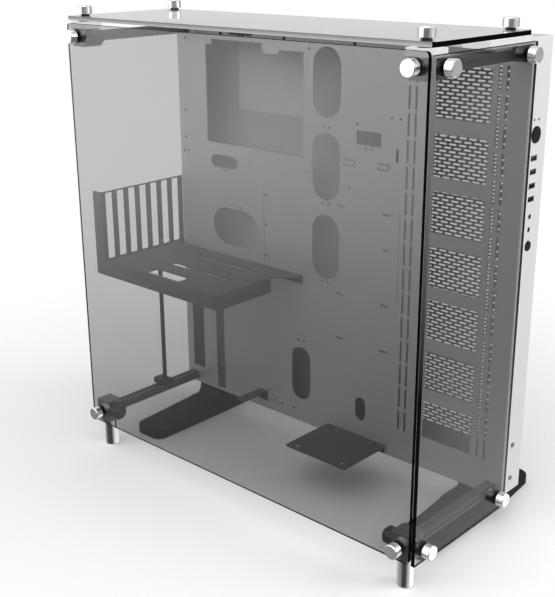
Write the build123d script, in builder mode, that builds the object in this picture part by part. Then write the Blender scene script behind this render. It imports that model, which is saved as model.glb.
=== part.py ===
"""Open frame test bench: glass on three sides of a pierced upright tray, on two feet and two legs."""
import os

from build123d import *

os.makedirs("parts", exist_ok=True)

# Sizes in millimetres. Offsets along X run from the left edge of the front glass,
# offsets along Y from its front face and offsets along Z from its bottom edge.

# Glass panes
glass_w = 550.0
glass_h = 547.0
glass_t = 5.0
glass_corner_r = 4.5
corner_gap = 3.0
top_gap = 4.0
side_pane_start = 1.0
side_pane_depth = 184.0
side_pane_drop = 3.0
top_pane_depth = 176.0
top_pane_over = 5.5

# Thumb screws and the soft washers under them
cap_d = 17.5
cap_h = 10.0
cap_edge = 0.8
shank_d = 5.0
shank_clear = 0.2
glass_clear = 0.5
screw_bite = 8.0
hole_spare = 1.0
washer_out_d = 11.0
washer_out_t = 2.0
washer_in_d = 17.0
washer_in_t = 2.0
screw_in_x = 15.5
screw_in_z = 15.0
screw_front_y = 18.0
screw_back_y = 168.0

# Folded body: tray, side wall and rear cover
chamber = 187.0
body_d = 44.0
body_lift = 3.5
sheet = 1.5
rear_flange = 12.0
wall_tab_depth = 30.0
wall_tab_h = 64.0
wall_tab_in = 8.0

# Corner blocks, plates, arms and knobs
block_w = 24.0
block_d = 24.0
block_h = 30.0
block_edge = 1.5
cap_plate_w = 32.0
cap_plate_d = block_d
cap_plate_t = 8.0
rear_plate_len = 83.0
rear_web_len = 60.0
arm_size = 12.0
arm_drop = 1.5
arm_groove_w = 4.0
arm_groove_t = 1.0
knob_sides = 8
knob_w = 20.0
knob_len = 16.0
knob_edge = 3.5

# Legs and feet
leg_d = 19.0
leg_h = 40.0
leg_edge = 1.5
foot_front_y = 67.0
foot_rear = 134.0
foot_w = 62.0
foot_tip_w = 51.0
foot_t = 13.0
foot_tip_r = 14.0
foot_neck_w = 37.0
foot_neck_bow = 5.0
foot_left_in = 1.0
foot_right_in = 86.0
foot_rear_in = 9.0
foot_edge_r = 2.5

# Slot bracket and card shelf
bracket_gap = 16.0
bracket_flange = 18.0
bracket_front_y = 51.0
bracket_rear_in = 7.0
bracket_tab = 14.0
bracket_top_z = 318.0
slot_count = 8
slot_pitch = 20.32
slot_w = 12.0
slot_first_in = 7.5
slot_strip = 2.0
shelf_z = 220.0
shelf_lip = 21.0
shelf_right_x = 209.0
shelf_lip_depth = 100.0
shelf_tip = 24.0
shelf_rear_lip = 12.0
shelf_window_w = 63.0
shelf_window_d = 19.0
shelf_window_x = 98.0
shelf_window_y = 67.5
shelf_slot_w = 108.0
shelf_slot_d = 8.0
shelf_slot_x = 118.0
shelf_slot_y = (108.0, 155.0)

# Rod that carries the shelf
rod_d = 6.0
rod_x = 19.5
rod_y = 121.0
clamp_w = 24.0
clamp_d = 16.0
clamp_t = 8.0

# Pump plate and supply support
plate_x = 330.5
plate_w = 101.0
plate_d = 87.0
plate_z = 16.5
plate_lip = 10.0
plate_corner_r = 4.0
plate_slot_dx = 72.5
plate_slot_dy = 68.0
plate_slot_in = 10.0
plate_slot_len = 9.0
plate_slot_w = 3.6
support_x = 159.5
support_w = 15.0
support_len = 50.0
support_z = 31.0
support_drop = 15.0
support_t = 2.0

# Openings of the tray
cpu_x = 145.0
cpu_w = 178.0
cpu_z = 445.5
cpu_h = 133.0
cpu_step_x = 115.0
cpu_step_w = 94.0
cpu_step_h = 7.0
cpu_tab_x = 178.0
cpu_tab_w = 28.0
cpu_tab_h = 6.0
oval_x = 272.7
oval_w = 45.0
oval_h = 87.0
oval_z = 266.5
oval_pitch = 105.7
oval_count = 3
low_oval_x = 231.0
low_oval_w = 34.0
low_oval_h = 78.0
low_oval_z = 76.4
pipe_oval_x = 335.5
pipe_oval_w = 17.0
pipe_oval_h = 33.0
pipe_oval_z = 55.0
flat_oval_x = 88.5
flat_oval_w = 52.0
flat_oval_h = 17.6
flat_oval_z = 353.7
wide_oval_x = 108.0
wide_oval_w = 89.0
wide_oval_h = 53.0
wide_oval_z = 262.5
pair_d = 4.0
pair_pitch = 9.8
pair_centres = (
    (88.2, 342.0),
    (113.9, 293.0),
    (113.9, 237.8),
    (272.8, 423.0),
    (272.8, 324.9),
    (272.8, 219.2),
    (231.2, 125.0),
)
tall_slot_w = 24.0
tall_slot_x = 25.0
tall_slot_z = 118.0
tall_slot_h = 176.0
thin_slot_w = 17.0
thin_slot_x = 72.0
thin_slot_z = 107.0
thin_slot_h = 198.0
board_hole_d = 3.6
board_dx = 227.33
board_mid_dx = 124.46
board_dz = 281.94
board_mid_dz = 154.94
board_left_x = 16.0
board_top_z = 517.0

# Fan rails, vent windows and what lies beside them, placed from the tray's right edge
port_in = 210.3
port_w = 37.5
port_h = 17.0
port_z = 416.0
tie_in = (252.0, 180.0)
tie_z = (326.0, 281.0, 208.3, 146.5)
tie_w = 11.0
tie_h = 2.8
loop_w = 18.0
loop_h = 9.0
loop_slit = 2.0
loop_places = ((240.0, 383.2), (187.2, 384.2))
right_pairs = ((243.2, 351.0), (210.0, 403.6))
rail_in = 90.0
rail_inner = 105.0
rail_outer = 124.5
rail_slot_w = 3.4
rail_slot_h = 27.0
rail_pitch = 31.7
rail_count = 15
rail_top_z = 519.0
vent_in = 83.25
vent_w = 71.5
vent_count = 6
vent_top_z = 433.7
vent_pitch = 67.4
vent_h = 50.5
first_vent_top_z = 511.5
first_vent_h = 60.0

# Staggered grille of the rear cover, in line with the rails
grille_cols = 7
grille_pitch_x = 20.0
grille_rows = 36
grille_pitch_z = 12.8
grille_z = 281.0
grille_slot_w = 15.0
grille_slot_h = 8.0

# Switch and socket strip of the side wall, placed down from the top edge
io_y = 22.0
button_clear = 0.3
power_drop = 104.4
power_d = 18.4
power_travel = 1.5
reset_drop = 230.4
reset_d = 11.4
reset_travel = 1.2
button_proud = 1.0
button_rim = 1.5
button_rim_t = 1.2
stem_d = 5.0
stem_end = 8.0
usb_drop = (130.4, 145.6, 161.4, 176.4)
usb_w = 13.2
usb_h = 6.0
usb_shell = 0.5
usb_mouth_depth = 9.0
usb_clear = 0.3
jack_drop = (196.6, 211.6)
jack_d = 5.6
jack_bore = 3.6
jack_body = 10.0
jack_back = 0.5
light_drop = 88.0
light_pitch = 9.3
light_d = 2.8
face_back = 0.4
board_gap = 14.4
board_t = 1.6
board_w = 34.0
board_top_over = 12.0
board_low_over = 14.0
post_d = 5.0
post_in = 5.0
switch_w = 10.0
switch_t = 4.0
plunger_d = 4.0

# Small pan head screws
pan_d = 5.6
pan_h = 1.4
pan_shank_d = 3.0
pan_shank_len = 6.0
pan_clear = 0.2
wall_screw_z = (22.4, 66.8)
rear_screw_in = 6.0
rear_screw_x = (60.0, 275.0, 490.0)
rear_screw_z = (180.0, 370.0)

# Reach of a thumb screw from its pane
cap_reach = washer_out_t + cap_h

# Frame: the middle of the whole in X and Y, the floor in Z
right_edge = (glass_w + bracket_gap + bracket_flange - corner_gap - glass_t - cap_reach) / 2
left_edge = right_edge - glass_w
front_y = (cap_reach - chamber - foot_rear) / 2
tray_y = front_y + chamber
base_z = leg_h
top_z = base_z + glass_h
body_z = base_z + body_lift
body_h = glass_h - body_lift
body_rear_y = tray_y + body_d
pan_right = right_edge - sheet
side_pane_y = front_y + side_pane_start + side_pane_depth / 2
top_pane_y = front_y + side_pane_start + top_pane_depth / 2
pane_x = right_edge + corner_gap
side_pane_h = glass_h - side_pane_drop
top_pane_z = top_z + top_gap

# Positions shared by the thumb screws, the panes and the blocks
left_x = left_edge + screw_in_x
right_x = right_edge - screw_in_x
low_z = base_z + screw_in_z
high_z = top_z - screw_in_z
near_y = front_y + screw_front_y
far_y = front_y + screw_back_y
block_y = front_y + glass_t + washer_in_t
block_back = block_y + block_d
low_block_z = base_z
high_block_z = top_pane_z - washer_in_t - block_h
plate_low_z = high_block_z + block_h - cap_plate_t
low_arm_z = low_z
high_arm_z = high_z - arm_drop
near_standoff = corner_gap + screw_in_x - block_w / 2 - washer_in_t
far_standoff = corner_gap + screw_in_x - arm_size / 2 - washer_in_t
shank_len = washer_out_t + glass_t + washer_in_t + screw_bite

front_points = [(x, z) for x in (left_x, right_x) for z in (low_z, high_z)]
front_axes = [Plane(origin=(x, front_y, z), z_dir=(0, -1, 0)) for x, z in front_points]
side_x = pane_x + glass_t
near_axes = [Plane(origin=(side_x, near_y, z), z_dir=(1, 0, 0)) for z in (low_z, high_z)]
far_axes = [Plane(origin=(side_x, far_y, z), z_dir=(1, 0, 0)) for z in (low_z, high_z)]
side_axes = near_axes + far_axes
top_points = [(x, y) for x in (left_x, right_x) for y in (near_y, far_y)]
top_axes = [Plane(origin=(x, y, top_pane_z + glass_t), z_dir=(0, 0, 1)) for x, y in top_points]
upward = (Align.CENTER, Align.CENTER, Align.MIN)
downward = (Align.CENTER, Align.CENTER, Align.MAX)
tray_face = Plane(origin=(left_edge, tray_y, base_z), x_dir=(1, 0, 0), z_dir=(0, -1, 0))
wall_face = Plane(origin=(right_edge, tray_y, base_z), x_dir=(0, 1, 0), z_dir=(1, 0, 0))

# Heights of the socket strip and places across the tray that follow its right edge
power_z = glass_h - power_drop
reset_z = glass_h - reset_drop
usb_z = [glass_h - drop for drop in usb_drop]
jack_z = [glass_h - drop for drop in jack_drop]
light_z = glass_h - light_drop
rail_x = glass_w - rail_in
vent_x = glass_w - vent_in
port_x = glass_w - port_in
tie_x = [glass_w - inset for inset in tie_in]
loop_centres = [(glass_w - inset, height) for inset, height in loop_places]
right_pair_centres = [(glass_w - inset, height) for inset, height in right_pairs]

# Front glass
with BuildPart() as front_glass:
    with BuildSketch(Plane(origin=(left_edge, front_y, base_z), x_dir=(1, 0, 0), z_dir=(0, -1, 0))):
        with Locations((glass_w / 2, glass_h / 2)):
            RectangleRounded(glass_w, glass_h, glass_corner_r)
    extrude(amount=-glass_t)
    with Locations(*front_axes):
        Cylinder(shank_d / 2 + glass_clear, glass_t, align=downward, mode=Mode.SUBTRACT)

# Top glass
with BuildPart() as top_glass:
    with BuildSketch(Plane(origin=(left_edge, top_pane_y, top_pane_z))):
        with Locations(((glass_w + top_pane_over) / 2, 0)):
            RectangleRounded(glass_w + top_pane_over, top_pane_depth, glass_corner_r)
    extrude(amount=glass_t)
    with Locations(*top_axes):
        Cylinder(shank_d / 2 + glass_clear, glass_t, align=downward, mode=Mode.SUBTRACT)

# Side glass
with BuildPart() as side_glass:
    with Locations((pane_x + glass_t / 2, side_pane_y, base_z + side_pane_h / 2)):
        Box(glass_t, side_pane_depth, side_pane_h)
    with Locations(*side_axes):
        Cylinder(shank_d / 2 + glass_clear, glass_t, align=downward, mode=Mode.SUBTRACT)

# Thumb screws of the front glass
with BuildPart() as front_thumb_screws:
    with Locations(*[axis.offset(washer_out_t) for axis in front_axes]):
        Cylinder(cap_d / 2, cap_h, align=upward)
    chamfer(front_thumb_screws.edges().filter_by(GeomType.CIRCLE), cap_edge)
    with Locations(*[axis.offset(washer_out_t) for axis in front_axes]):
        Cylinder(shank_d / 2, shank_len, align=downward)

# Thumb screws of the top glass
with BuildPart() as top_thumb_screws:
    with Locations(*[axis.offset(washer_out_t) for axis in top_axes]):
        Cylinder(cap_d / 2, cap_h, align=upward)
    chamfer(top_thumb_screws.edges().filter_by(GeomType.CIRCLE), cap_edge)
    with Locations(*[axis.offset(washer_out_t) for axis in top_axes]):
        Cylinder(shank_d / 2, shank_len, align=downward)

# Thumb screws of the side glass, longer by the standoff behind the pane
with BuildPart() as side_thumb_screws:
    with Locations(*[axis.offset(washer_out_t) for axis in side_axes]):
        Cylinder(cap_d / 2, cap_h, align=upward)
    chamfer(side_thumb_screws.edges().filter_by(GeomType.CIRCLE), cap_edge)
    with Locations(*[axis.offset(washer_out_t) for axis in near_axes]):
        Cylinder(shank_d / 2, shank_len + near_standoff, align=downward)
    with Locations(*[axis.offset(washer_out_t) for axis in far_axes]):
        Cylinder(shank_d / 2, shank_len + far_standoff, align=downward)

# Soft washers between the caps and the panes
with BuildPart() as outer_washers:
    with Locations(*front_axes, *side_axes, *top_axes):
        Cylinder(washer_out_d / 2, washer_out_t, align=upward)
        Cylinder(shank_d / 2 + shank_clear, washer_out_t, align=upward, mode=Mode.SUBTRACT)

# Soft washers between the panes and what carries them
with BuildPart() as inner_washers:
    with Locations(*[axis.offset(-glass_t) for axis in front_axes + side_axes + top_axes]):
        Cylinder(washer_in_d / 2, washer_in_t, align=downward)
        Cylinder(shank_d / 2 + shank_clear, washer_in_t, align=downward, mode=Mode.SUBTRACT)

# Standoffs of the side glass: short ones on the blocks and long ones on the arms
with BuildPart() as side_standoffs:
    with Locations(*[axis.offset(-glass_t - washer_in_t) for axis in near_axes]):
        Cylinder(washer_in_d / 2, near_standoff, align=downward)
        Cylinder(shank_d / 2 + shank_clear, near_standoff, align=downward, mode=Mode.SUBTRACT)
    with Locations(*[axis.offset(-glass_t - washer_in_t) for axis in far_axes]):
        Cylinder(washer_in_d / 2, far_standoff, align=downward)
        Cylinder(shank_d / 2 + shank_clear, far_standoff, align=downward, mode=Mode.SUBTRACT)

# The four blocks behind the front glass
screw_hole_r = shank_d / 2 + shank_clear
screw_hole_len = screw_bite + hole_spare
front_holes = [axis.offset(-glass_t - washer_in_t) for axis in front_axes]
near_holes = [axis.offset(-glass_t - washer_in_t - near_standoff) for axis in near_axes]
far_holes = [axis.offset(-glass_t - washer_in_t - far_standoff) for axis in far_axes]
top_holes = [axis.offset(-glass_t - washer_in_t) for axis in top_axes]
block_mid_y = block_y + block_d / 2

with BuildPart() as front_block_low_left:
    with Locations((left_x, block_mid_y, low_block_z + block_h / 2)):
        Box(block_w, block_d, block_h)
    chamfer(front_block_low_left.edges().filter_by(Axis.Z), block_edge)
    with Locations(*front_holes):
        Cylinder(screw_hole_r, screw_hole_len, align=downward, mode=Mode.SUBTRACT)

with BuildPart() as front_block_low_right:
    with Locations((right_x, block_mid_y, low_block_z + block_h / 2)):
        Box(block_w, block_d, block_h)
    chamfer(front_block_low_right.edges().filter_by(Axis.Z), block_edge)
    with Locations(*front_holes, *near_holes):
        Cylinder(screw_hole_r, screw_hole_len, align=downward, mode=Mode.SUBTRACT)

with BuildPart() as front_block_high_left:
    with Locations((left_x, block_mid_y, high_block_z)):
        Box(block_w, block_d, plate_low_z - high_block_z, align=upward)
    chamfer(front_block_high_left.edges().filter_by(Axis.Z), block_edge)
    with Locations(*front_holes, *top_holes):
        Cylinder(screw_hole_r, screw_hole_len, align=downward, mode=Mode.SUBTRACT)

with BuildPart() as front_block_high_right:
    with Locations((right_x, block_mid_y, high_block_z)):
        Box(block_w, block_d, plate_low_z - high_block_z, align=upward)
    chamfer(front_block_high_right.edges().filter_by(Axis.Z), block_edge)
    with Locations(*front_holes, *near_holes, *top_holes):
        Cylinder(screw_hole_r, screw_hole_len, align=downward, mode=Mode.SUBTRACT)

# Two plates under the top glass, each on a high front block
with BuildPart() as front_plate_left:
    with Locations((left_x, block_mid_y, plate_low_z)):
        Box(cap_plate_w, cap_plate_d, cap_plate_t, align=upward)
    with Locations(*top_holes):
        Cylinder(screw_hole_r, screw_hole_len, align=downward, mode=Mode.SUBTRACT)

with BuildPart() as front_plate_right:
    with Locations((right_x, block_mid_y, plate_low_z)):
        Box(cap_plate_w, cap_plate_d, cap_plate_t, align=upward)
    with Locations(*top_holes):
        Cylinder(screw_hole_r, screw_hole_len, align=downward, mode=Mode.SUBTRACT)

# Two longer plates at the tray, each on a web along its arm
web_h = plate_low_z - high_arm_z - arm_size / 2
on_tray = (Align.CENTER, Align.MAX, Align.MIN)
under_plate = (Align.CENTER, Align.MAX, Align.MAX)

with BuildPart() as rear_plate_left:
    with Locations((left_x, tray_y, plate_low_z)):
        Box(cap_plate_w, rear_plate_len, cap_plate_t, align=on_tray)
        Box(arm_size, rear_web_len, web_h, align=under_plate)
    with Locations(*top_holes):
        Cylinder(screw_hole_r, screw_hole_len, align=downward, mode=Mode.SUBTRACT)

with BuildPart() as rear_plate_right:
    with Locations((right_x, tray_y, plate_low_z)):
        Box(cap_plate_w, rear_plate_len, cap_plate_t, align=on_tray)
        Box(arm_size, rear_web_len, web_h, align=under_plate)
    with Locations(*top_holes):
        Cylinder(screw_hole_r, screw_hole_len, align=downward, mode=Mode.SUBTRACT)

# Grooved arms between the blocks and the tray
arm_len = tray_y - block_back
groove_at = arm_size / 2 - arm_groove_t / 2


def grooved_arm(x, z):
    """One straight square bar with a groove along each side."""
    with BuildPart() as arm:
        with BuildSketch(Plane(origin=(x, block_back, z), x_dir=(1, 0, 0), z_dir=(0, -1, 0))):
            Rectangle(arm_size, arm_size)
            with Locations((groove_at, 0), (-groove_at, 0)):
                Rectangle(arm_groove_t, arm_groove_w, mode=Mode.SUBTRACT)
            with Locations((0, groove_at), (0, -groove_at)):
                Rectangle(arm_groove_w, arm_groove_t, mode=Mode.SUBTRACT)
        extrude(amount=-arm_len)
        with Locations(*far_holes):
            Cylinder(screw_hole_r, screw_hole_len, align=downward, mode=Mode.SUBTRACT)
    return arm.part


arm_low_left = grooved_arm(left_x, low_arm_z)
arm_low_right = grooved_arm(right_x, low_arm_z)
arm_high_left = grooved_arm(left_x, high_arm_z)
arm_high_right = grooved_arm(right_x, high_arm_z)

# Eight-sided knobs that clamp three of the front blocks
knob_axes = [
    Plane(origin=(left_x + block_w / 2, block_mid_y, low_arm_z), z_dir=(1, 0, 0)),
    Plane(origin=(left_x + block_w / 2, block_mid_y, high_arm_z), z_dir=(1, 0, 0)),
    Plane(origin=(right_x - block_w / 2, block_mid_y, low_arm_z), z_dir=(-1, 0, 0)),
]
with BuildPart() as clamp_knobs:
    with BuildSketch(*knob_axes):
        RegularPolygon(knob_w / 2, knob_sides, major_radius=False, rotation=180 / knob_sides)
    extrude(amount=knob_len)
    knob_ends = clamp_knobs.faces().filter_by(Axis.X).group_by(Axis.X)
    chamfer(knob_ends[1].edges() + knob_ends[2].edges(), knob_edge)

# Legs under the front blocks
with BuildPart() as left_leg:
    with Locations((left_x, near_y, 0)):
        Cylinder(leg_d / 2, leg_h, align=upward)
    chamfer(left_leg.edges().filter_by(GeomType.CIRCLE).group_by(Axis.Z)[0], leg_edge)

with BuildPart() as right_leg:
    with Locations((right_x, near_y, 0)):
        Cylinder(leg_d / 2, leg_h, align=upward)
    chamfer(right_leg.edges().filter_by(GeomType.CIRCLE).group_by(Axis.Z)[0], leg_edge)


# Feet: a long low bar with a bowed neck that carries the body
def foot_bar(x):
    """One foot whose outer side at the body lies at x."""
    inner = x + foot_w
    tip = inner - foot_tip_w
    shoulder = inner - foot_neck_w
    rise = body_z - foot_t
    with BuildPart() as foot:
        with BuildSketch():
            with BuildLine():
                Polyline(
                    (inner, front_y + foot_front_y),
                    (inner, body_rear_y),
                    (inner - foot_rear_in, tray_y + foot_rear),
                    (tip, tray_y + foot_rear),
                    (x, body_rear_y),
                    (x, tray_y),
                    (tip, front_y + foot_front_y),
                    close=True,
                )
            make_face()
        extrude(amount=foot_t)
        ends = foot.edges().filter_by(Axis.Z).group_by(Axis.Y)
        fillet(ends[0] + ends[-1], foot_tip_r)
        fillet(foot.faces().sort_by(Axis.Z)[-1].edges(), foot_edge_r)
        with BuildSketch(Plane(origin=(0, tray_y, foot_t), x_dir=(1, 0, 0), z_dir=(0, -1, 0))):
            with BuildLine():
                neck_mid = ((x + shoulder) / 2 + foot_neck_bow, rise / 2 - foot_neck_bow)
                ThreePointArc((x, 0), neck_mid, (shoulder, rise))
                Polyline((shoulder, rise), (inner, rise), (inner, -foot_t), (x, -foot_t), (x, 0))
            make_face()
        extrude(amount=-body_d)
    return foot.part


left_foot = foot_bar(left_edge + foot_left_in)
right_foot = foot_bar(right_edge - foot_right_in)

# Axes of the small screws of the wall and the rear cover
wall_screw_y = tray_y + io_y
wall_axes = [Plane(origin=(right_edge, wall_screw_y, base_z + z), z_dir=(1, 0, 0)) for z in wall_screw_z]
rear_rows = (body_z + rear_screw_in, top_z - rear_screw_in)
rear_cols = (left_edge + rear_screw_in, pan_right - rear_screw_in)
rear_points = [(left_edge + x, z) for x in rear_screw_x for z in rear_rows]
rear_points += [(x, base_z + z) for x in rear_cols for z in rear_screw_z]
rear_axes = [Plane(origin=(x, body_rear_y, z), z_dir=(0, 1, 0)) for x, z in rear_points]
pan_hole_r = pan_shank_d / 2 + pan_clear

# Tray: a folded pan, open to the rear and to the side wall
pan_d_out = body_d - sheet
pan_mid_x = (left_edge + pan_right) / 2
body_mid_z = body_z + body_h / 2
tab_low_z = body_z + wall_tab_in + wall_tab_h / 2
tab_high_z = body_z + body_h - wall_tab_in - wall_tab_h / 2
with BuildPart() as tray_panel:
    with Locations((pan_mid_x, tray_y + pan_d_out / 2, body_mid_z)):
        Box(pan_right - left_edge, pan_d_out, body_h)
    with Locations((left_edge + sheet, tray_y + pan_d_out / 2, body_mid_z)):
        Box(
            pan_right - left_edge,
            pan_d_out - 2 * sheet,
            body_h - 2 * sheet,
            align=(Align.MIN, Align.CENTER, Align.CENTER),
            mode=Mode.SUBTRACT,
        )
    with Locations((left_edge + rear_flange, tray_y + pan_d_out, body_mid_z)):
        Box(
            pan_right - left_edge,
            2 * sheet,
            body_h - 2 * rear_flange,
            align=(Align.MIN, Align.CENTER, Align.CENTER),
            mode=Mode.SUBTRACT,
        )
    with Locations((pan_right, tray_y, tab_low_z), (pan_right, tray_y, tab_high_z)):
        Box(sheet, wall_tab_depth, wall_tab_h, align=(Align.MAX, Align.MIN, Align.CENTER))
    with BuildSketch(tray_face):
        with Locations((cpu_x, cpu_z)):
            Rectangle(cpu_w, cpu_h)
        with Locations((cpu_step_x, cpu_z + cpu_h / 2)):
            Rectangle(cpu_step_w, 2 * cpu_step_h)
        with Locations((cpu_tab_x, cpu_z + cpu_h / 2)):
            Rectangle(cpu_tab_w, 2 * cpu_tab_h, mode=Mode.SUBTRACT)
        with Locations(*[(oval_x, oval_z + k * oval_pitch) for k in range(oval_count)]):
            SlotOverall(oval_h, oval_w, rotation=90)
        with Locations((low_oval_x, low_oval_z)):
            SlotOverall(low_oval_h, low_oval_w, rotation=90)
        with Locations((pipe_oval_x, pipe_oval_z)):
            SlotOverall(pipe_oval_h, pipe_oval_w, rotation=90)
        with Locations((flat_oval_x, flat_oval_z)):
            SlotOverall(flat_oval_w, flat_oval_h)
        with Locations((wide_oval_x, wide_oval_z)):
            SlotOverall(wide_oval_w, wide_oval_h)
        with Locations((port_x, port_z)):
            Rectangle(port_w, port_h)
        with Locations(*[(x, z) for x in tie_x for z in tie_z]):
            Rectangle(tie_w, tie_h)
        with Locations((tall_slot_x, tall_slot_z)):
            Rectangle(tall_slot_w, tall_slot_h)
        with Locations((thin_slot_x, thin_slot_z)):
            Rectangle(thin_slot_w, thin_slot_h)
        with Locations((vent_x, first_vent_top_z - first_vent_h / 2)):
            Rectangle(vent_w, first_vent_h)
        with Locations(*[(vent_x, vent_top_z - vent_h / 2 - k * vent_pitch) for k in range(vent_count)]):
            Rectangle(vent_w, vent_h)
    extrude(amount=-sheet, mode=Mode.SUBTRACT)
    rail_heights = [rail_top_z - (k + 0.5) * rail_pitch for k in range(rail_count)]
    with BuildSketch(tray_face):
        for offset in (-rail_outer / 2, -rail_inner / 2, rail_inner / 2, rail_outer / 2):
            with Locations(*[(rail_x + offset, height) for height in rail_heights]):
                Rectangle(rail_slot_w, rail_slot_h)
    extrude(amount=-sheet, mode=Mode.SUBTRACT)
    with BuildSketch(tray_face):
        with Locations(*pair_centres, *right_pair_centres):
            with GridLocations(pair_pitch, 0, 2, 1):
                Circle(pair_d / 2)
        with Locations(*loop_centres):
            Rectangle(loop_w, loop_h)
            with Locations((-loop_slit, 0)):
                Rectangle(loop_w, loop_h - 2 * loop_slit, mode=Mode.SUBTRACT)
    extrude(amount=-sheet, mode=Mode.SUBTRACT)
    board_cols = (board_left_x, board_left_x + board_mid_dx, board_left_x + board_dx)
    board_rows = (board_top_z, board_top_z - board_mid_dz, board_top_z - board_dz)
    board_holes = [(x, z) for x in board_cols for z in board_rows]
    board_holes.remove((board_cols[1], board_rows[0]))
    with BuildSketch(tray_face):
        with Locations(*board_holes):
            Circle(board_hole_d / 2)
    extrude(amount=-sheet, mode=Mode.SUBTRACT)
    with Locations(*wall_axes, *rear_axes):
        Cylinder(pan_hole_r, pan_shank_len, align=downward, mode=Mode.SUBTRACT)

# Side wall with the switch and socket strip
wall_flange_h = body_h - 2 * rear_flange - 2 * pan_clear
with BuildPart() as side_wall:
    with Locations((right_edge, tray_y, body_z)):
        Box(sheet, body_d, body_h, align=(Align.MAX, Align.MIN, Align.MIN))
    with Locations((pan_right, body_rear_y - sheet, body_mid_z)):
        Box(rear_flange, sheet, wall_flange_h, align=(Align.MAX, Align.MAX, Align.CENTER))
    with BuildSketch(wall_face):
        with Locations((io_y, power_z)):
            Circle(power_d / 2 + button_clear)
        with Locations((io_y, reset_z)):
            Circle(reset_d / 2 + button_clear)
        with Locations(*[(io_y, z) for z in usb_z]):
            Rectangle(usb_w + 2 * usb_clear, usb_h + 2 * usb_clear)
        with Locations(*[(io_y, z) for z in jack_z]):
            Circle(jack_d / 2 + button_clear)
        with Locations((io_y - light_pitch / 2, light_z), (io_y + light_pitch / 2, light_z)):
            Circle(light_d / 2 + button_clear)
    extrude(amount=-sheet, mode=Mode.SUBTRACT)
    with Locations(*wall_axes, *rear_axes):
        Cylinder(pan_hole_r, pan_shank_len, align=downward, mode=Mode.SUBTRACT)

# Rear cover with the staggered grille
grille_points = []
for row in range(grille_rows):
    shift = grille_pitch_x / 4 if row % 2 else -grille_pitch_x / 4
    for col in range(grille_cols):
        slot_x = rail_x + shift + (col - (grille_cols - 1) / 2) * grille_pitch_x
        grille_points.append((slot_x, grille_z + (row - (grille_rows - 1) / 2) * grille_pitch_z))
with BuildPart() as rear_cover:
    with Locations((pan_mid_x, body_rear_y, body_mid_z)):
        Box(pan_right - left_edge, sheet, body_h, align=(Align.CENTER, Align.MAX, Align.CENTER))
    with BuildSketch(tray_face.offset(sheet - body_d)):
        with Locations(*grille_points):
            Rectangle(grille_slot_w, grille_slot_h)
    extrude(amount=-sheet, mode=Mode.SUBTRACT)
    with Locations(*rear_axes):
        Cylinder(pan_hole_r, pan_shank_len, align=downward, mode=Mode.SUBTRACT)

# Small screws of the side wall and of the rear cover
with BuildPart() as wall_screws:
    with Locations(*wall_axes):
        Cylinder(pan_d / 2, pan_h, align=upward)
        Cylinder(pan_shank_d / 2, pan_shank_len, align=downward)

with BuildPart() as rear_screws:
    with Locations(*rear_axes):
        Cylinder(pan_d / 2, pan_h, align=upward)
        Cylinder(pan_shank_d / 2, pan_shank_len, align=downward)

# Slot bracket beside the body: a wall with eight card slots, folded out at the front and in at the rear
wall_x = left_edge - bracket_gap
bracket_y = front_y + bracket_front_y
bracket_end = body_rear_y - bracket_rear_in
bracket_h = bracket_top_z - shelf_z + shelf_lip
bracket_low_z = base_z + shelf_z - shelf_lip
slot_low_z = base_z + shelf_z + slot_strip
slot_h = bracket_top_z - shelf_z - 2 * slot_strip
with BuildPart() as slot_bracket:
    with Locations((wall_x, bracket_y, bracket_low_z)):
        Box(sheet, bracket_end - bracket_y, bracket_h, align=(Align.MAX, Align.MIN, Align.MIN))
        Box(bracket_flange, sheet, bracket_h, align=(Align.MAX, Align.MIN, Align.MIN))
    with Locations((left_edge, bracket_end, bracket_low_z)):
        Box(bracket_gap, sheet, bracket_h, align=(Align.MAX, Align.MAX, Align.MIN))
        Box(sheet, bracket_tab, bracket_h, align=(Align.MAX, Align.MAX, Align.MIN))
    slot_first_y = bracket_y + slot_first_in
    with Locations(*[(wall_x, slot_first_y + k * slot_pitch, slot_low_z) for k in range(slot_count)]):
        Box(2 * sheet, slot_w, slot_h, align=(Align.CENTER, Align.MIN, Align.MIN), mode=Mode.SUBTRACT)

# Card shelf: a floor between the bracket and the tray with lips turned down
shelf_top = base_z + shelf_z
shelf_right = left_edge + shelf_right_x
with BuildPart() as card_shelf:
    with BuildSketch(Plane.XY.offset(shelf_top - sheet)):
        with BuildLine():
            Polyline(
                (wall_x, bracket_y),
                (shelf_right, bracket_y),
                (shelf_right, bracket_y + shelf_lip_depth),
                (shelf_right + shelf_tip, tray_y - shelf_rear_lip),
                (shelf_right + shelf_tip, tray_y),
                (wall_x, tray_y),
                close=True,
            )
        make_face()
        with Locations((left_edge + shelf_window_x, front_y + shelf_window_y)):
            Rectangle(shelf_window_w, shelf_window_d, mode=Mode.SUBTRACT)
        with Locations(*[(left_edge + shelf_slot_x, front_y + y) for y in shelf_slot_y]):
            Rectangle(shelf_slot_w, shelf_slot_d, mode=Mode.SUBTRACT)
    extrude(amount=sheet)
    with Locations((wall_x, bracket_y, shelf_top)):
        Box(shelf_right - wall_x, sheet, shelf_lip, align=(Align.MIN, Align.MIN, Align.MAX))
    with Locations((shelf_right, bracket_y, shelf_top)):
        Box(sheet, shelf_lip_depth, shelf_lip, align=(Align.MAX, Align.MIN, Align.MAX))
    shelf_end = shelf_right + shelf_tip
    with Locations((shelf_end, tray_y, shelf_top)):
        Box(shelf_end - left_edge, sheet, shelf_rear_lip, align=(Align.MAX, Align.MAX, Align.MAX))

# Rod between the low left arm and the shelf, on a clamp
arm_top = low_arm_z + arm_size / 2
with BuildPart() as rod_clamp:
    with Locations((left_x, front_y + rod_y, arm_top)):
        Box(clamp_w, clamp_d, clamp_t, align=upward)

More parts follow.
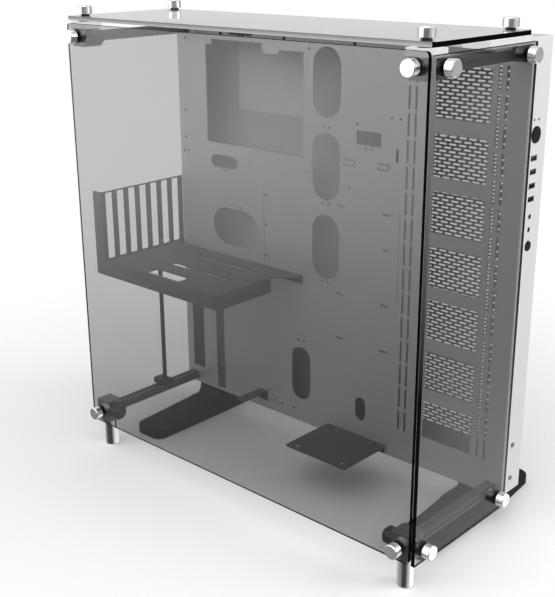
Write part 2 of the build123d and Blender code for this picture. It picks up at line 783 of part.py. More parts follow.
with BuildPart() as support_rod:
    with Locations((left_edge + rod_x, front_y + rod_y, arm_top + clamp_t)):
        Cylinder(rod_d / 2, shelf_top - sheet - arm_top - clamp_t, align=upward)

# Pump plate on the tray
plate_top = base_z + plate_z
plate_mid_x = left_edge + plate_x
with BuildPart() as pump_plate:
    with BuildSketch(Plane(origin=(plate_mid_x, tray_y, plate_top - sheet))):
        with Locations((0, -plate_d / 2)):
            RectangleRounded(plate_w, plate_d, plate_corner_r)
        slot_mid_y = plate_slot_in + plate_slot_dy / 2 - plate_d
        with Locations((0, slot_mid_y)):
            with GridLocations(plate_slot_dx, plate_slot_dy, 2, 2):
                SlotOverall(plate_slot_len, plate_slot_w, rotation=90, mode=Mode.SUBTRACT)
    extrude(amount=sheet)
    with Locations((plate_mid_x, tray_y, plate_top)):
        Box(
            plate_w - 2 * plate_corner_r,
            sheet,
            plate_lip + sheet,
            align=(Align.CENTER, Align.MAX, Align.MAX),
        )

# Folded support for the power supply on the tray
with BuildPart() as supply_support:
    with Locations((left_edge + support_x, tray_y, base_z + support_z)):
        Box(support_w, support_len, support_t, align=(Align.CENTER, Align.MAX, Align.MAX))
        Box(support_w, support_t, support_drop, align=(Align.CENTER, Align.MAX, Align.MAX))

# Push buttons, held behind the wall by their rims
power_plane = Plane(origin=(right_edge, tray_y + io_y, base_z + power_z), z_dir=(1, 0, 0))
reset_plane = Plane(origin=(right_edge, tray_y + io_y, base_z + reset_z), z_dir=(1, 0, 0))
rim_back = sheet + button_clear

with BuildPart() as power_button:
    with Locations(power_plane.offset(button_proud)):
        Cylinder(power_d / 2, button_proud + rim_back + button_rim_t, align=downward)
    with Locations(power_plane.offset(-rim_back)):
        Cylinder(power_d / 2 + button_rim, button_rim_t, align=downward)
        Cylinder(stem_d / 2, stem_end - rim_back, align=downward)

with BuildPart() as reset_button:
    with Locations(reset_plane.offset(button_proud)):
        Cylinder(reset_d / 2, button_proud + rim_back + button_rim_t, align=downward)
    with Locations(reset_plane.offset(-rim_back)):
        Cylinder(reset_d / 2 + button_rim, button_rim_t, align=downward)
        Cylinder(stem_d / 2, stem_end - rim_back, align=downward)

# Board behind the wall, on four posts
board_x = right_edge - board_gap
board_low = base_z + reset_z - board_low_over
board_high = base_z + light_z + board_top_over
with BuildPart() as io_board:
    with Locations((board_x, tray_y + io_y, board_low)):
        Box(board_t, board_w, board_high - board_low, align=(Align.MAX, Align.CENTER, Align.MIN))

post_dy = board_w / 2 - post_in
with BuildPart() as board_posts:
    for post_y in (tray_y + io_y - post_dy, tray_y + io_y + post_dy):
        for post_z in (board_low + post_in, board_high - post_in):
            with Locations(Plane(origin=(board_x, post_y, post_z), z_dir=(1, 0, 0))):
                Cylinder(post_d / 2, board_gap - sheet, align=upward)

# Sockets on the board, each with an open mouth
usb_len = board_gap - face_back


def usb_socket(z):
    """One metal socket shell on the board, open to the outside."""
    with BuildPart() as socket:
        with Locations((board_x, tray_y + io_y, base_z + z)):
            Box(usb_len, usb_w, usb_h, align=(Align.MIN, Align.CENTER, Align.CENTER))
        with Locations((board_x + usb_len, tray_y + io_y, base_z + z)):
            Box(
                usb_mouth_depth,
                usb_w - 2 * usb_shell,
                usb_h - 2 * usb_shell,
                align=(Align.MAX, Align.CENTER, Align.CENTER),
                mode=Mode.SUBTRACT,
            )
    return socket.part


usb_socket_1 = usb_socket(usb_z[0])
usb_socket_2 = usb_socket(usb_z[1])
usb_socket_3 = usb_socket(usb_z[2])
usb_socket_4 = usb_socket(usb_z[3])

jack_planes = [Plane(origin=(board_x, tray_y + io_y, base_z + z), z_dir=(1, 0, 0)) for z in jack_z]
with BuildPart() as audio_jacks:
    with Locations(*jack_planes):
        Box(jack_body, jack_body, board_gap - sheet - jack_back, align=upward)
        Cylinder(jack_d / 2, usb_len, align=upward)
    with Locations(*[plane.offset(usb_len) for plane in jack_planes]):
        Cylinder(jack_bore / 2, usb_mouth_depth, align=downward, mode=Mode.SUBTRACT)

with BuildPart() as status_lights:
    for light_y in (io_y - light_pitch / 2, io_y + light_pitch / 2):
        with Locations(Plane(origin=(board_x, tray_y + light_y, base_z + light_z), z_dir=(1, 0, 0))):
            Cylinder(light_d / 2, usb_len, align=upward)

# Switches under the two buttons
with BuildPart() as power_switch:
    with Locations(Plane(origin=(board_x, tray_y + io_y, base_z + power_z), z_dir=(1, 0, 0))):
        Box(switch_w, switch_w, switch_t, align=upward)
        Cylinder(plunger_d / 2, board_gap - stem_end - power_travel - button_clear, align=upward)

with BuildPart() as reset_switch:
    with Locations(Plane(origin=(board_x, tray_y + io_y, base_z + reset_z), z_dir=(1, 0, 0))):
        Box(switch_w, switch_w, switch_t, align=upward)
        Cylinder(plunger_d / 2, board_gap - stem_end - reset_travel - button_clear, align=upward)

# Every piece goes out under its own name
pieces = {
    "front_glass": front_glass.part,
    "top_glass": top_glass.part,
    "side_glass": side_glass.part,
    "front_thumb_screws": front_thumb_screws.part,
    "top_thumb_screws": top_thumb_screws.part,
    "side_thumb_screws": side_thumb_screws.part,
    "outer_washers": outer_washers.part,
    "inner_washers": inner_washers.part,
    "side_standoffs": side_standoffs.part,
    "front_block_low_left": front_block_low_left.part,
    "front_block_low_right": front_block_low_right.part,
    "front_block_high_left": front_block_high_left.part,
    "front_block_high_right": front_block_high_right.part,
    "front_plate_left": front_plate_left.part,
    "front_plate_right": front_plate_right.part,
    "rear_plate_left": rear_plate_left.part,
    "rear_plate_right": rear_plate_right.part,
    "arm_low_left": arm_low_left,
    "arm_low_right": arm_low_right,
    "arm_high_left": arm_high_left,
    "arm_high_right": arm_high_right,
    "clamp_knobs": clamp_knobs.part,
    "left_leg": left_leg.part,
    "right_leg": right_leg.part,
    "left_foot": left_foot,
    "right_foot": right_foot,
    "tray_panel": tray_panel.part,
    "side_wall": side_wall.part,
    "rear_cover": rear_cover.part,
    "wall_screws": wall_screws.part,
    "rear_screws": rear_screws.part,
    "slot_bracket": slot_bracket.part,
    "card_shelf": card_shelf.part,
    "rod_clamp": rod_clamp.part,
    "support_rod": support_rod.part,
    "pump_plate": pump_plate.part,
    "supply_support": supply_support.part,
    "power_button": power_button.part,
    "reset_button": reset_button.part,
    "io_board": io_board.part,
    "board_posts": board_posts.part,
    "usb_socket_1": usb_socket_1,
    "usb_socket_2": usb_socket_2,
    "usb_socket_3": usb_socket_3,
    "usb_socket_4": usb_socket_4,
    "audio_jacks": audio_jacks.part,
    "status_lights": status_lights.part,
    "power_switch": power_switch.part,
    "reset_switch": reset_switch.part,
}
for name, piece in pieces.items():
    piece.label = name
    export_step(piece, "parts/" + name + ".step")
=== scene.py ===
import math

import bmesh
import bpy
from mathutils import Matrix, Vector


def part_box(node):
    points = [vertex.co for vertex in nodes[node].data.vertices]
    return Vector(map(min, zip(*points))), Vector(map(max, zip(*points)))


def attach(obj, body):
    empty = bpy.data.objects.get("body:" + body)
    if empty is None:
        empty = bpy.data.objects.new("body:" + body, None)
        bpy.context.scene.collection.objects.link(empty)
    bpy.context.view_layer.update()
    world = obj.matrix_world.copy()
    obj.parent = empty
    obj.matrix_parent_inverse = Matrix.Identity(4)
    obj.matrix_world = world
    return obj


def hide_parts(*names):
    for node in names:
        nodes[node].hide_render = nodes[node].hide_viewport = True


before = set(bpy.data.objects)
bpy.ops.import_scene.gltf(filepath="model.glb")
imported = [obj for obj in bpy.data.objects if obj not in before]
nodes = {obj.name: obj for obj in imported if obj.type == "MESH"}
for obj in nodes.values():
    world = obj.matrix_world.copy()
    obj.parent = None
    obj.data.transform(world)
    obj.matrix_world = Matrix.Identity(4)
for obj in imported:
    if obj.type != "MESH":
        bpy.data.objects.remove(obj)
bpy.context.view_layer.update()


# Tray: one folded sheet of steel, punched and sprayed in a satin silver grey.
# The spray leaves a fine orange peel and a faint cloudiness, shared by all the painted sheets.
def make_spray_group():
    """Colour, roughness and height of a sprayed coat with fine peel and soft clouds."""
    group = bpy.data.node_groups.new("sprayed_coat", "ShaderNodeTree")
    face = group.interface
    face.new_socket("Coat", in_out="INPUT", socket_type="NodeSocketColor")
    face.new_socket("Cloud", in_out="INPUT", socket_type="NodeSocketFloat").default_value = 0.06
    face.new_socket("Gloss", in_out="INPUT", socket_type="NodeSocketFloat").default_value = 0.4
    face.new_socket("Peel Scale", in_out="INPUT", socket_type="NodeSocketFloat").default_value = 900.0
    face.new_socket("Color", in_out="OUTPUT", socket_type="NodeSocketColor")
    face.new_socket("Roughness", in_out="OUTPUT", socket_type="NodeSocketFloat")
    face.new_socket("Height", in_out="OUTPUT", socket_type="NodeSocketFloat")
    tree = group.nodes
    link = group.links.new
    entry = tree.new("NodeGroupInput")
    leave = tree.new("NodeGroupOutput")
    coords = tree.new("ShaderNodeTexCoord")

    cloud = tree.new("ShaderNodeTexNoise")
    cloud.inputs["Scale"].default_value = 9.0
    cloud.inputs["Detail"].default_value = 4.0
    link(coords.outputs["Object"], cloud.inputs["Vector"])
    swing = tree.new("ShaderNodeMath")
    swing.operation = "SUBTRACT"
    swing.inputs[1].default_value = 0.5
    link(cloud.outputs["Fac"], swing.inputs[0])
    amount = tree.new("ShaderNodeMath")
    amount.operation = "MULTIPLY_ADD"
    amount.inputs[2].default_value = 1.0
    link(swing.outputs[0], amount.inputs[0])
    link(entry.outputs["Cloud"], amount.inputs[1])
    shade = tree.new("ShaderNodeVectorMath")
    shade.operation = "SCALE"
    link(entry.outputs["Coat"], shade.inputs[0])
    link(amount.outputs[0], shade.inputs["Scale"])
    link(shade.outputs["Vector"], leave.inputs["Color"])

    rub = tree.new("ShaderNodeTexNoise")
    rub.inputs["Scale"].default_value = 40.0
    rub.inputs["Detail"].default_value = 3.0
    link(coords.outputs["Object"], rub.inputs["Vector"])
    gloss = tree.new("ShaderNodeMath")
    gloss.operation = "MULTIPLY_ADD"
    gloss.inputs[1].default_value = 0.12
    link(rub.outputs["Fac"], gloss.inputs[0])
    link(entry.outputs["Gloss"], gloss.inputs[2])
    link(gloss.outputs[0], leave.inputs["Roughness"])

    peel = tree.new("ShaderNodeTexNoise")
    peel.inputs["Detail"].default_value = 2.0
    link(coords.outputs["Object"], peel.inputs["Vector"])
    link(entry.outputs["Peel Scale"], peel.inputs["Scale"])
    link(peel.outputs["Fac"], leave.inputs["Height"])
    return group


spray_group = make_spray_group()


def sprayed(name, coat, cloud, gloss, peel_scale, peel_depth, shine=0.5, flake=0.0):
    """A painted sheet, with a share of metal flake: the spray group feeds one shader and a fine bump."""
    paint = bpy.data.materials.new(name)
    paint.use_nodes = True
    tree = paint.node_tree
    shader = tree.nodes["Principled BSDF"]
    shader.inputs["Specular IOR Level"].default_value = shine
    shader.inputs["Metallic"].default_value = flake
    skin = tree.nodes.new("ShaderNodeGroup")
    skin.node_tree = spray_group
    skin.inputs["Coat"].default_value = (*coat, 1.0)
    skin.inputs["Cloud"].default_value = cloud
    skin.inputs["Gloss"].default_value = gloss
    skin.inputs["Peel Scale"].default_value = peel_scale
    bump = tree.nodes.new("ShaderNodeBump")
    bump.inputs["Strength"].default_value = 0.35
    bump.inputs["Distance"].default_value = peel_depth
    tree.links.new(skin.outputs["Color"], shader.inputs["Base Color"])
    tree.links.new(skin.outputs["Roughness"], shader.inputs["Roughness"])
    tree.links.new(skin.outputs["Height"], bump.inputs["Height"])
    tree.links.new(bump.outputs["Normal"], shader.inputs["Normal"])
    return paint


def dress(material, *names):
    """Gives solids of the frame their finish."""
    for name in names:
        mesh = nodes[name].data
        mesh.materials.clear()
        mesh.materials.append(material)


tray_silver = (0.525, 0.53, 0.535)
tray_paint = sprayed(
    "tray_paint", tray_silver,
    cloud=0.08, gloss=0.40, peel_scale=900.0, peel_depth=0.00012, shine=0.4, flake=0.4,
)
dress(tray_paint, "tray_panel")

# Side wall: a narrow sheet at the end of the tray, sprayed in a pale silver.
# It carries the socket strip and closes the cable space.
wall_silver = (0.82, 0.824, 0.828)
wall_paint = sprayed(
    "wall_paint", wall_silver, cloud=0.05, gloss=0.36, peel_scale=1100.0, peel_depth=0.0001
)
dress(wall_paint, "side_wall")

# Rear cover: a flat sheet of steel held by ten small screws, painted in the tray's grey.
# It is punched with a fine staggered grille, whose rows of short slots show through the tray's windows.
cover_low, cover_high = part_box("rear_cover")
grille_left, grille_right = 0.1205, 0.262
grille_low, grille_high = 0.08775, 0.552
unit = 0.00345
units_per_slot, units_per_pitch = 3, 4
row_pitch, slot_height = 0.00456, 0.0025
cols = round((grille_right - grille_left) / unit)
rows = round((grille_high - grille_low) / row_pitch)

cover = bmesh.new()
bmesh.ops.create_grid(cover, x_segments=cols, y_segments=2 * rows, size=0.5)
step_x = 1.0 / cols
step_z = 1.0 / (2 * rows)
for vert in cover.verts:
    col = round((vert.co.x + 0.5) / step_x)
    half_row = round((vert.co.y + 0.5) / step_z)
    row, upper = divmod(half_row, 2)
    height = grille_low + row * row_pitch + upper * slot_height
    vert.co = Vector((grille_left + col * unit, cover_low.y, height))
gaps = []
for face in cover.faces:
    centre = face.calc_center_median()
    col = int((centre.x - grille_left) / unit)
    row = int((centre.z - grille_low) / row_pitch)
    in_slot = (centre.z - grille_low) - row * row_pitch < slot_height
    shift = 0 if row % 2 else units_per_pitch // 2
    if in_slot and (col + shift) % units_per_pitch < units_per_slot:
        gaps.append(face)
rim = [edge for edge in cover.edges if edge.is_boundary]
bmesh.ops.delete(cover, geom=gaps, context="FACES_ONLY")
border = bmesh.ops.extrude_edge_only(cover, edges=rim)
tiny = 1e-6
for vert in (item for item in border["geom"] if isinstance(item, bmesh.types.BMVert)):
    if abs(vert.co.x - grille_left) < tiny:
        vert.co.x = cover_low.x
    elif abs(vert.co.x - (grille_left + cols * unit)) < tiny:
        vert.co.x = cover_high.x
    if abs(vert.co.z - grille_low) < tiny:
        vert.co.z = cover_low.z
    elif abs(vert.co.z - (grille_low + rows * row_pitch)) < tiny:
        vert.co.z = cover_high.z
loose = [vert for vert in cover.verts if not vert.link_faces]
bmesh.ops.delete(cover, geom=loose, context="VERTS")
bmesh.ops.remove_doubles(cover, verts=cover.verts, dist=tiny)
bmesh.ops.recalc_face_normals(cover, faces=cover.faces)
outward = sum((face.normal for face in cover.faces), Vector())
if outward.y < 0:
    bmesh.ops.reverse_faces(cover, faces=cover.faces)
bmesh.ops.solidify(cover, geom=cover.faces[:], thickness=-(cover_high.y - cover_low.y))
bmesh.ops.recalc_face_normals(cover, faces=cover.faces)
cover_mesh = bpy.data.meshes.new("grille_cover")
cover.to_mesh(cover_mesh)
cover.free()
grille_cover = bpy.data.objects.new("grille_cover", cover_mesh)
bpy.context.scene.collection.objects.link(grille_cover)
cover_grey = (0.47, 0.475, 0.48)
cover_paint = sprayed(
    "cover_paint", cover_grey, cloud=0.08, gloss=0.5, peel_scale=900.0, peel_depth=0.00012
)
cover_mesh.materials.append(cover_paint)
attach(grille_cover, "chassis")
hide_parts("rear_cover")

# Feet: two long cast bars with a bowed neck, bolted under the body.
# A coarse black powder coat takes nearly all their shine.
foot_black = (0.017, 0.017, 0.018)
foot_paint = sprayed(
    "foot_paint", foot_black, cloud=0.2, gloss=0.6, peel_scale=1600.0, peel_depth=0.0003, shine=0.07
)
dress(foot_paint, "left_foot", "right_foot")


# Legs and thumb screws: turned steel, polished and chromed.
# Faint marks from the lathe and a little haze break the mirror.
def plated(name, metal, gloss, mark_scale):
    """Bright plated metal with faint marks from the lathe."""
    plate = bpy.data.materials.new(name)
    plate.use_nodes = True
    tree = plate.node_tree
    shader = tree.nodes["Principled BSDF"]
    shader.inputs["Metallic"].default_value = 1.0
    coords = tree.nodes.new("ShaderNodeTexCoord")
    haze = tree.nodes.new("ShaderNodeTexNoise")
    haze.inputs["Scale"].default_value = 60.0
    haze.inputs["Detail"].default_value = 5.0
    tree.links.new(coords.outputs["Object"], haze.inputs["Vector"])
    tint = tree.nodes.new("ShaderNodeMixRGB")
    tint.inputs["Color1"].default_value = (*[0.93 * part for part in metal], 1.0)
    tint.inputs["Color2"].default_value = (*metal, 1.0)
    tree.links.new(haze.outputs["Fac"], tint.inputs["Fac"])
    tree.links.new(tint.outputs["Color"], shader.inputs["Base Color"])
    rough = tree.nodes.new("ShaderNodeMapRange")
    rough.inputs["To Min"].default_value = gloss * 0.7
    rough.inputs["To Max"].default_value = gloss * 1.4
    tree.links.new(haze.outputs["Fac"], rough.inputs["Value"])
    tree.links.new(rough.outputs["Result"], shader.inputs["Roughness"])
    marks = tree.nodes.new("ShaderNodeTexNoise")
    marks.inputs["Scale"].default_value = mark_scale
    tree.links.new(coords.outputs["Object"], marks.inputs["Vector"])
    bump = tree.nodes.new("ShaderNodeBump")
    bump.inputs["Strength"].default_value = 0.08
    bump.inputs["Distance"].default_value = 0.00005
    tree.links.new(marks.outputs["Fac"], bump.inputs["Height"])
    tree.links.new(bump.outputs["Normal"], shader.inputs["Normal"])
    return plate


chrome = plated("bright_chrome", (0.88, 0.885, 0.89), gloss=0.07, mark_scale=1500.0)
dress(chrome, "left_leg", "right_leg")
cap_chrome = plated("cap_chrome", (0.90, 0.905, 0.91), gloss=0.22, mark_scale=1500.0)
dress(cap_chrome, "front_thumb_screws", "top_thumb_screws", "side_thumb_screws")

# Plates under the top glass: short lengths of flat bar that the top thumb screws bite into.
# They are ground flat and coated in a pale satin silver.
plate_silver = (0.86, 0.863, 0.866)
plate_paint = sprayed(
    "plate_paint", plate_silver, cloud=0.04, gloss=0.3, peel_scale=1100.0, peel_depth=0.00006
)
dress(plate_paint, "front_plate_left", "front_plate_right", "rear_plate_left", "rear_plate_right")


# Washers and standoffs: black rubber rings cut from bar, one on each side of every pane.
# The screws press them flat. They are dull and slightly dusty.
def moulded(name, body, dust, gloss, grain_scale, grain_depth, shine=0.5):
    """Dull moulded rubber or plastic with a fine grain and uneven dust."""
    mould = bpy.data.materials.new(name)
    mould.use_nodes = True
    tree = mould.node_tree
    shader = tree.nodes["Principled BSDF"]
    shader.inputs["Specular IOR Level"].default_value = shine
    coords = tree.nodes.new("ShaderNodeTexCoord")
    patch = tree.nodes.new("ShaderNodeTexNoise")
    patch.inputs["Scale"].default_value = 70.0
    patch.inputs["Detail"].default_value = 4.0
    tree.links.new(coords.outputs["Object"], patch.inputs["Vector"])
    blend = tree.nodes.new("ShaderNodeMixRGB")
    blend.inputs["Color1"].default_value = (*body, 1.0)
    blend.inputs["Color2"].default_value = (*dust, 1.0)
    tree.links.new(patch.outputs["Fac"], blend.inputs["Fac"])
    tree.links.new(blend.outputs["Color"], shader.inputs["Base Color"])
    rough = tree.nodes.new("ShaderNodeMapRange")
    rough.inputs["To Min"].default_value = gloss * 0.85
    rough.inputs["To Max"].default_value = gloss * 1.15
    tree.links.new(patch.outputs["Fac"], rough.inputs["Value"])
    tree.links.new(rough.outputs["Result"], shader.inputs["Roughness"])
    grain = tree.nodes.new("ShaderNodeTexNoise")
    grain.inputs["Scale"].default_value = grain_scale
    tree.links.new(coords.outputs["Object"], grain.inputs["Vector"])
    bump = tree.nodes.new("ShaderNodeBump")
    bump.inputs["Strength"].default_value = 0.3
    bump.inputs["Distance"].default_value = grain_depth
    tree.links.new(grain.outputs["Fac"], bump.inputs["Height"])
    tree.links.new(bump.outputs["Normal"], shader.inputs["Normal"])
    return mould


rubber_black, rubber_dust = (0.006, 0.006, 0.006), (0.016, 0.016, 0.016)
rubber = moulded(
    "black_rubber", rubber_black, rubber_dust, gloss=0.5, grain_scale=2200.0, grain_depth=0.0001, shine=0.3
)
dress(rubber, "outer_washers", "inner_washers", "side_standoffs")


# Blocks, arms, rod and clamp: drawn aluminium, milled, blasted and anodised in greys.
# The arms run from the tray to the front blocks, and the drawing leaves faint streaks along them.
def drawn(name, metal, gloss):
    """Anodised aluminium with streaks along its length."""
    alloy = bpy.data.materials.new(name)
    alloy.use_nodes = True
    tree = alloy.node_tree
    shader = tree.nodes["Principled BSDF"]
    shader.inputs["Metallic"].default_value = 0.6
    coords = tree.nodes.new("ShaderNodeTexCoord")
    stretch = tree.nodes.new("ShaderNodeMapping")
    stretch.inputs["Scale"].default_value = (900.0, 12.0, 900.0)
    tree.links.new(coords.outputs["Object"], stretch.inputs["Vector"])
    streaks = tree.nodes.new("ShaderNodeTexNoise")
    streaks.inputs["Scale"].default_value = 1.0
    streaks.inputs["Detail"].default_value = 3.0
    tree.links.new(stretch.outputs["Vector"], streaks.inputs["Vector"])
    tone = tree.nodes.new("ShaderNodeMixRGB")
    tone.inputs["Color1"].default_value = (*[0.86 * part for part in metal], 1.0)
    tone.inputs["Color2"].default_value = (*[1.12 * part for part in metal], 1.0)
    tree.links.new(streaks.outputs["Fac"], tone.inputs["Fac"])
    tree.links.new(tone.outputs["Color"], shader.inputs["Base Color"])
    rough = tree.nodes.new("ShaderNodeMapRange")
    rough.inputs["To Min"].default_value = gloss * 0.8
    rough.inputs["To Max"].default_value = gloss * 1.25
    tree.links.new(streaks.outputs["Fac"], rough.inputs["Value"])
    tree.links.new(rough.outputs["Result"], shader.inputs["Roughness"])
    bump = tree.nodes.new("ShaderNodeBump")
    bump.inputs["Strength"].default_value = 0.15
    bump.inputs["Distance"].default_value = 0.00006
    tree.links.new(streaks.outputs["Fac"], bump.inputs["Height"])
    tree.links.new(bump.outputs["Normal"], shader.inputs["Normal"])
    return alloy


block_alloy = drawn("block_alloy", (0.20, 0.203, 0.206), gloss=0.38)
arm_alloy = drawn("arm_alloy", (0.13, 0.132, 0.135), gloss=0.42)
rod_alloy = drawn("rod_alloy", (0.03, 0.031, 0.032), gloss=0.42)
corner_names = ("low_left", "low_right", "high_left", "high_right")
for corner in corner_names:
    dress(block_alloy, "front_block_" + corner)
    dress(arm_alloy, "arm_" + corner)
dress(rod_alloy, "rod_clamp", "support_rod")

# Clamp knobs: eight-sided caps that tighten the arms to the front blocks.
# They are moulded in dark plastic with a fine grain.
knob_dark, knob_dust = (0.03, 0.03, 0.032), (0.05, 0.05, 0.052)
knob_plastic = moulded(
    "knob_plastic", knob_dark, knob_dust, gloss=0.4, grain_scale=1400.0, grain_depth=0.00012
)
dress(knob_plastic, "clamp_knobs")

# Slot bracket, shelf, pump plate and support: folded sheet steel fixed to the tray and the rod.
# All four have the same dark grey satin coat.
bracket_grey = (0.10, 0.101, 0.104)
bracket_paint = sprayed(
    "bracket_paint", bracket_grey, cloud=0.1, gloss=0.45, peel_scale=1000.0, peel_depth=0.00015, shine=0.2
)
dress(bracket_paint, "slot_bracket", "card_shelf", "pump_plate", "supply_support")

# Small screws and board posts: turned steel, blackened to a dull shine.
# The screws hold the wall and the rear cover, the posts carry the socket board.
screw_steel = plated("screw_steel", (0.22, 0.22, 0.225), gloss=0.3, mark_scale=900.0)
dress(screw_steel, "wall_screws", "rear_screws", "board_posts")

# Tray trim: a dark strip of painted shade along the tray's top edge, under a flat clip, two pressed ribs
# of the tray's own sheet, and small rubber plugs in the holes that nothing uses.
tray_low, tray_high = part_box("tray_panel")
tray_face = tray_low.y


def slab(builder, low, high):
    """A box between two corners."""
    middle, size = (Vector(low) + Vector(high)) / 2, Vector(high) - Vector(low)
    stretch = Matrix.Translation(middle) @ Matrix.Diagonal((*size, 1.0))
    bmesh.ops.create_cube(builder, size=1.0, matrix=stretch)


def stud(builder, x, z, radius, height):
    """A round head that stands on the tray's face."""
    place = Matrix.Translation((x, tray_face - height / 2, z)) @ Matrix.Rotation(math.pi / 2, 4, "X")
    crown = 0.8 * radius
    bmesh.ops.create_cone(
        builder, cap_ends=True, segments=24, radius1=radius, radius2=crown, depth=height, matrix=place
    )


def settle(builder, name, material):
    """Turns a finished mesh into a piece of the bench."""
    mesh = bpy.data.meshes.new(name)
    builder.to_mesh(mesh)
    builder.free()
    mesh.materials.append(material)
    piece = bpy.data.objects.new(name, mesh)
    bpy.context.scene.collection.objects.link(piece)
    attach(piece, "chassis")


# Painted shade: a thin dark strip stands for the shade along the tray's top edge.
shade_band_left, shade_band_right = -0.236, 0.250
shade_band_low, shade_band_high, shade_band_thick = 0.5647, 0.572, 0.0008
shade_band = bmesh.new()
slab(shade_band, (shade_band_left, tray_face - shade_band_thick, shade_band_low), (shade_band_right, tray_face, shade_band_high))
shade_band_grey, shade_band_mottle = (0.19, 0.19, 0.192), (0.24, 0.24, 0.242)
shade_band_paint = moulded("shade_band_paint", shade_band_grey, shade_band_mottle, gloss=0.85, grain_scale=900.0, grain_depth=0.0003)
settle(shade_band, "painted_shade_band", shade_band_paint)

narrow_rib, wide_rib = 0.001, 0.0007
ribs = bmesh.new()
slab(ribs, (-0.1080, tray_face - narrow_rib, 0.260), (-0.1046, tray_face, 0.373))
slab(ribs, (0.1105, tray_face - wide_rib, 0.259), (0.1220, tray_face, 0.371))
settle(ribs, "tray_ribs", tray_paint)

strip_height, strip_plug_r, clip_pin_r = 0.002, 0.0026, 0.0012
strip_plug_z, clip_low, clip_high, clip_pin_z = 0.567, 0.567, 0.569, 0.5655
plug_height, plug_r, edge_plug_r = 0.0007, 0.0015, 0.0018
rib_plug_x, foot_plug_z = -0.1005, 0.0605
plugs = bmesh.new()
for x in (-0.183, -0.068, 0.0464):
    stud(plugs, x, strip_plug_z, strip_plug_r, strip_height)
slab(plugs, (-0.166, tray_face - strip_height, clip_low), (-0.1255, tray_face, clip_high))
for x in (-0.149, -0.142):
    stud(plugs, x, clip_pin_z, clip_pin_r, strip_height)
for z in (0.3589, 0.3184, 0.2743):
    stud(plugs, rib_plug_x, z, plug_r, plug_height)
for x, z in ((0.0533, 0.4721), (0.1181, 0.4845), (0.1054, 0.4846)):
    stud(plugs, x, z, plug_r, plug_height)
for x, z in ((-0.2561, 0.4578), (-0.2563, 0.4201), (-0.2599, 0.4002)):
    stud(plugs, x, z, edge_plug_r, plug_height)
for x in (-0.0875, -0.0716, -0.0505):
    stud(plugs, x, foot_plug_z, plug_r, plug_height)
slab(plugs, (0.1136, tray_face - plug_height, 0.4326), (0.1166, tray_face, 0.4488))
settle(plugs, "tray_plugs", rubber)

# Lit patch: a pale sheet on the inside of the rear cover, lighter than the cover's own grey.
# It is painted light, the lit part of the cover that shows behind the tray's large window.
lit_patch_left, lit_patch_right = -0.189, -0.057
lit_patch_low, lit_patch_high, lit_patch_thick = 0.4615, 0.562, 0.001
lit_patch = bmesh.new()
slab(
    lit_patch,
    (lit_patch_left, cover_low.y - lit_patch_thick, lit_patch_low),
    (lit_patch_right, cover_low.y, lit_patch_high),
)
# Painted light: this pale grey stands for light falling on the rear cover.
lit_patch_pale = (0.68, 0.684, 0.688)
lit_patch_paint = sprayed(
    "lit_patch_paint", lit_patch_pale, cloud=0.05, gloss=0.5, peel_scale=900.0, peel_depth=0.0001
)
settle(lit_patch, "painted_lit_patch", lit_patch_paint)

# Push buttons: the power and reset caps, moulded in black plastic and smoothed by use.
# Each slides in its hole in the side wall and rides on its own body.
button_black, button_dust = (0.006, 0.006, 0.007), (0.012, 0.012, 0.013)
button_plastic = moulded(
    "button_plastic", button_black, button_dust,
    gloss=0.45, grain_scale=1800.0, grain_depth=0.00004, shine=0.12,
)
dress(button_plastic, "power_button", "reset_button")

# Sockets: folded and plated steel shells with plastic tongues, black jack bodies and dark light pipes.
# All are soldered to a green board behind the side wall.
socket_steel = plated("socket_steel", (0.60, 0.61, 0.62), gloss=0.22, mark_scale=1200.0)
dress(socket_steel, "usb_socket_1", "usb_socket_2", "usb_socket_3", "usb_socket_4")
tongue_back, tongue_front = 0.0085, 0.0012
tongue_half, tongue_low, tongue_high = 0.0052, 0.0002, 0.0020
blue_tongues, dark_tongues = bmesh.new(), bmesh.new()
for number, builder in ((1, blue_tongues), (2, blue_tongues), (3, dark_tongues), (4, dark_tongues)):
    low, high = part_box("usb_socket_" + str(number))
    middle = (low + high) / 2
    slab(
        builder,
        (high.x - tongue_back, middle.y - tongue_half, middle.z + tongue_low),
        (high.x - tongue_front, middle.y + tongue_half, middle.z + tongue_high),
    )
tongue_blue = moulded(
    "tongue_blue", (0.03, 0.06, 0.22), (0.05, 0.09, 0.28),
    gloss=0.4, grain_scale=1500.0, grain_depth=0.00004, shine=0.3,
)
settle(blue_tongues, "usb_tongues_upper", tongue_blue)
tongue_black = moulded(
    "tongue_black", (0.012, 0.012, 0.012), (0.02, 0.02, 0.02),
    gloss=0.4, grain_scale=1500.0, grain_depth=0.00004, shine=0.2,
)
settle(dark_tongues, "usb_tongues_lower", tongue_black)
jack_plastic = moulded(
    "jack_plastic", (0.015, 0.015, 0.015), (0.03, 0.03, 0.03),
    gloss=0.45, grain_scale=1500.0, grain_depth=0.00008, shine=0.15,
)
dress(jack_plastic, "audio_jacks", "power_switch", "reset_switch")
pipe_plastic = moulded(
    "light_pipe", (0.02, 0.02, 0.022), (0.03, 0.03, 0.032),
    gloss=0.3, grain_scale=1200.0, grain_depth=0.00003, shine=0.15,
)
dress(pipe_plastic, "status_lights")
board_laminate = moulded(
    "board_laminate", (0.012, 0.05, 0.02), (0.02, 0.08, 0.03),
    gloss=0.35, grain_scale=700.0, grain_depth=0.00006,
)
dress(board_laminate, "io_board")


# Glass panes: tempered float glass with a smoke tint, held by the thumb screws. The tint piles up along
# the sheet, so the edges are black, and the front edges of the top and side panes are finished grey by
# grinding;
# the change of that grey with height is painted light.
edge_tint = (0.004, 0.0042, 0.0042)
edge_reach = 0.0002


